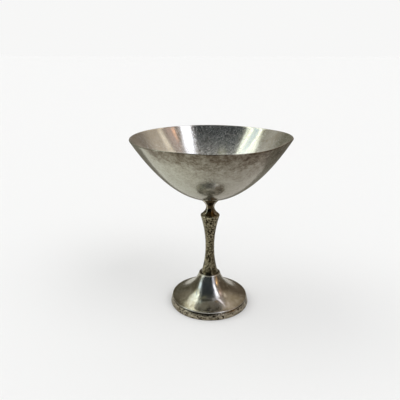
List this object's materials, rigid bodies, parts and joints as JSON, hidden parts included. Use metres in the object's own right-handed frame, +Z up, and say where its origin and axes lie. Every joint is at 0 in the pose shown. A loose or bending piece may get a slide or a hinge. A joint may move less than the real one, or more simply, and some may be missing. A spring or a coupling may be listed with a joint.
{
  "type": "trophy cup",
  "caption": "Stemmed metal cup: a wide open bowl on a narrow turned neck, a waisted textured stem and a flared hollow foot with a textured band, held by a central tie rod.",
  "frame": {"origin": "centre of the circle that the foot's band stands on", "axes": "+Z up along the cup's axis, from the foot to the bowl's mouth; X and Y level and interchangeable, with the lock washer's split towards +X"},
  "size_m": [0.1122, 0.1122, 0.1271],
  "materials": {
    "polished_plate": "silver plate over brass, polished, scratched and lightly tarnished",
    "worn_plate": "silver plate over brass, dark with tarnish and worn through to the brass",
    "textured_plate": "silver plate over brass, pebbled like bark, with dark pits and lighter high spots",
    "bare_brass": "turned brass, dulled with age",
    "zinc_steel": "zinc plated steel"
  },
  "bodies": {
    "root": {"bowl": "polished_plate", "bowl_seat_disc": "worn_plate", "neck": "worn_plate", "stem": "textured_plate", "foot": "polished_plate", "foot_band": "textured_plate", "tie_rod": "bare_brass", "flat_washer": "zinc_steel", "lock_washer": "zinc_steel", "hex_nut": "bare_brass"}
  },
  "joints": []
}
